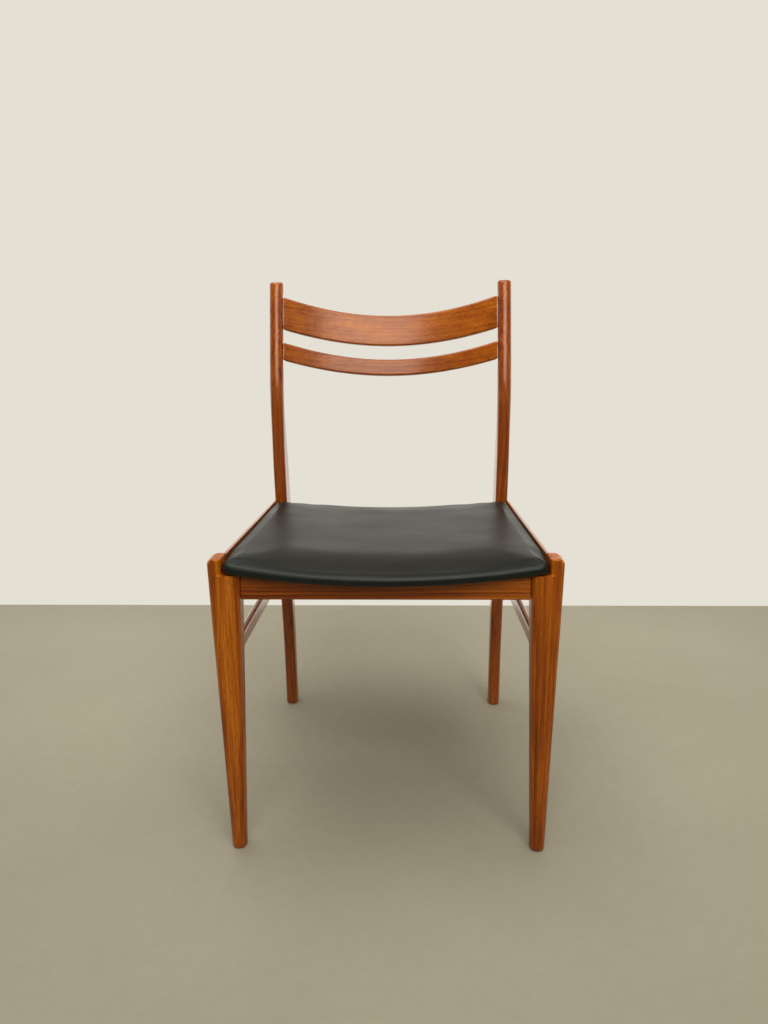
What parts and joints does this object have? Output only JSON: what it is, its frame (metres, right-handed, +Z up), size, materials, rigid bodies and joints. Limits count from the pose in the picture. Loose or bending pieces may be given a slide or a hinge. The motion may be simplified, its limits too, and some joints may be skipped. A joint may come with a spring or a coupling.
{
  "type": "dining chair",
  "caption": "Wooden dining chair with horned front legs, bowed back slats between leaning posts and a dished padded seat on a rail frame.",
  "frame": {"origin": "centre of the chair's box in plan, on the floor under the feet", "axes": "+Z up, the seat faces -Y, +X to the right as seen from in front"},
  "size_m": [0.4578, 0.5194, 0.79],
  "materials": {
    "teak": "oiled, warm red-brown, satin",
    "beech": "raw, pale",
    "plywood": "raw board",
    "foam": "upholstery foam",
    "leatherette": "black, fine grain, satin",
    "steel": "plain screws"
  },
  "bodies": {
    "root": {"corner_block_front_left": "beech", "corner_block_front_right": "beech", "corner_block_rear_left": "beech", "corner_block_rear_right": "beech", "dowel_front_rail_left_lower": "beech", "dowel_front_rail_left_upper": "beech", "dowel_front_rail_right_lower": "beech", "dowel_front_rail_right_upper": "beech", "dowel_rear_rail_left_lower": "beech", "dowel_rear_rail_left_upper": "beech", "dowel_rear_rail_right_lower": "beech", "dowel_rear_rail_right_upper": "beech", "dowel_side_rail_left_front_lower": "beech", "dowel_side_rail_left_front_upper": "beech", "dowel_side_rail_left_rear_lower": "beech", "dowel_side_rail_left_rear_upper": "beech", "dowel_side_rail_right_front_lower": "beech", "dowel_side_rail_right_front_upper": "beech", "dowel_side_rail_right_rear_lower": "beech", "dowel_side_rail_right_rear_upper": "beech", "front_leg_left": "teak", "front_leg_right": "teak", "front_rail": "teak", "lower_slat": "teak", "rear_post_left": "teak", "rear_post_right": "teak", "rear_rail": "teak", "seat_board": "plywood", "seat_cover": "leatherette", "seat_foam": "foam", "seat_screw_front_left": "steel", "seat_screw_front_right": "steel", "seat_screw_rear_left": "steel", "seat_screw_rear_right": "steel", "side_rail_left": "teak", "side_rail_right": "teak", "side_stretcher_left": "teak", "side_stretcher_right": "teak", "top_slat": "teak"}
  },
  "joints": []
}
